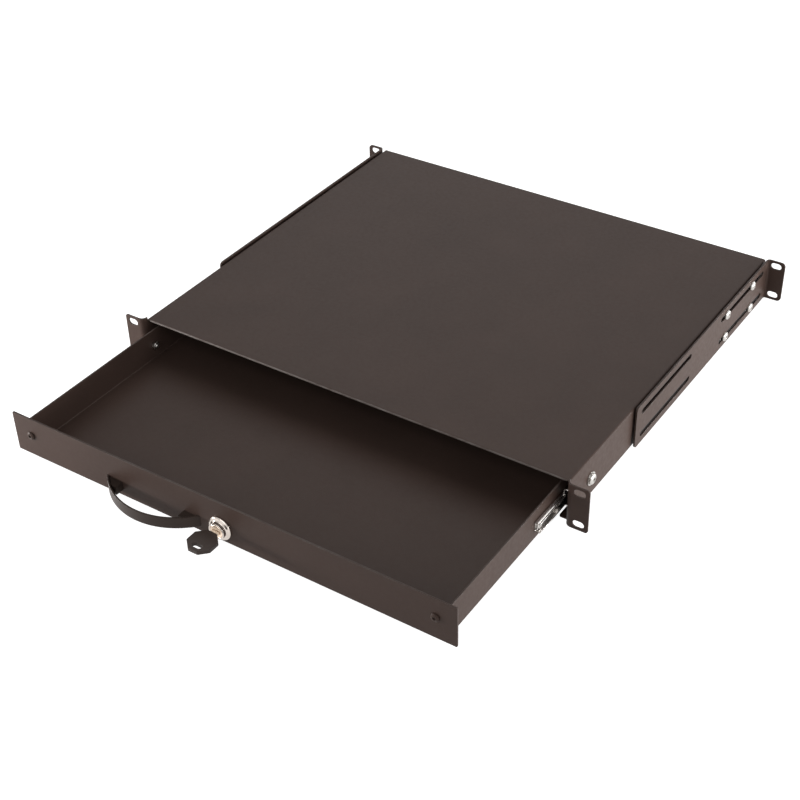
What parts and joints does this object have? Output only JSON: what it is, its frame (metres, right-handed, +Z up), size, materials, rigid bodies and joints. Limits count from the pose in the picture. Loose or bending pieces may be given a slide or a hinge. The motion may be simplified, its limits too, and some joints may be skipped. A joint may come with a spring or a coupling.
{
  "type": "rack keyboard drawer",
  "caption": "Low black sheet-steel rack case with a pull-out tray on ball slides, bow handle, cam lock with key, slotted front ears and adjustable slotted rear brackets.",
  "frame": {"origin": "centre of the front ears' slot pattern, on the ears' front face, midway between the left and right slots and between the upper and lower ones", "axes": "+X to the right seen from the front, +Y back into the rack, +Z up"},
  "size_m": [0.4826, 0.5988, 0.0436],
  "materials": {
    "case_coat": "fine black-brown powder coat",
    "drawer_coat": "fine black-brown powder coat",
    "bracket_coat": "fine black-brown powder coat",
    "slide_steel": "bright zinc plate",
    "fastener_zinc": "bright zinc plate",
    "fastener_black": "black-brown coat over the head",
    "ball_steel": "polished bearing steel",
    "lock_chrome": "bright chrome plate",
    "plug_brass": "plain turned brass",
    "key_steel": "nickel plate",
    "key_black": "black moulded",
    "handle_black": "black satin moulded"
  },
  "bodies": {
    "case": {"case_shell": "case_coat", "lock_strike": "case_coat", "slide_outer_left": "slide_steel", "slide_outer_right": "slide_steel", "slide_outer_screws": "fastener_zinc", "slide_outer_washers": "fastener_zinc", "slide_rear_rivets": "fastener_zinc", "bracket_standoffs": "fastener_zinc", "bracket_screws": "fastener_zinc"},
    "bracket_left": {"rear_bracket_left": "bracket_coat"},
    "bracket_right": {"rear_bracket_right": "bracket_coat"},
    "drawer": {"drawer_tray": "drawer_coat", "front_panel": "drawer_coat", "panel_screws": "fastener_black", "panel_nuts": "fastener_zinc", "pull_handle": "handle_black", "handle_screws": "fastener_zinc", "lock_body": "lock_chrome", "lock_nut": "fastener_zinc", "slide_inner_left": "slide_steel", "slide_inner_right": "slide_steel", "slide_end_rivets": "fastener_zinc", "slide_inner_screws": "fastener_zinc", "slide_inner_nuts": "fastener_zinc"},
    "plug": {"lock_plug": "plug_brass", "lock_cam": "fastener_zinc", "cam_screw": "fastener_zinc"},
    "key": {"key_blade": "key_steel", "key_head": "key_black"},
    "cage_left": {"ball_cage_left": "slide_steel", "slide_balls_left": "ball_steel"},
    "cage_right": {"ball_cage_right": "slide_steel", "slide_balls_right": "ball_steel"}
  },
  "joints": [
    {"name": "drawer_push", "type": "slide", "parent": "case", "child": "drawer", "axis": [0, 1, 0], "range_m": [-0.0452, 0.1648]},
    {"name": "cage_left_roll", "type": "slide", "parent": "case", "child": "cage_left", "axis": [0, 1, 0], "range_m": [-0.0226, 0.0824]},
    {"name": "cage_right_roll", "type": "slide", "parent": "case", "child": "cage_right", "axis": [0, 1, 0], "range_m": [-0.0226, 0.0824]},
    {"name": "key_turn", "type": "hinge", "parent": "drawer", "child": "plug", "pos_m": [0.002, -0.1708, -0.004], "axis": [0, -1, 0], "range_deg": [0, 90]},
    {"name": "key_pull", "type": "slide", "parent": "plug", "child": "key", "axis": [0, -1, 0], "range_m": [0, 0.03]},
    {"name": "bracket_left_adjust", "type": "slide", "parent": "case", "child": "bracket_left", "axis": [0, 1, 0], "range_m": [-0.024, 0.01]},
    {"name": "bracket_right_adjust", "type": "slide", "parent": "case", "child": "bracket_right", "axis": [0, 1, 0], "range_m": [-0.024, 0.01]}
  ],
  "couplings": [
    {"joint": "cage_left_roll", "follows": "drawer_push", "ratio": 0.5},
    {"joint": "cage_right_roll", "follows": "drawer_push", "ratio": 0.5}
  ]
}
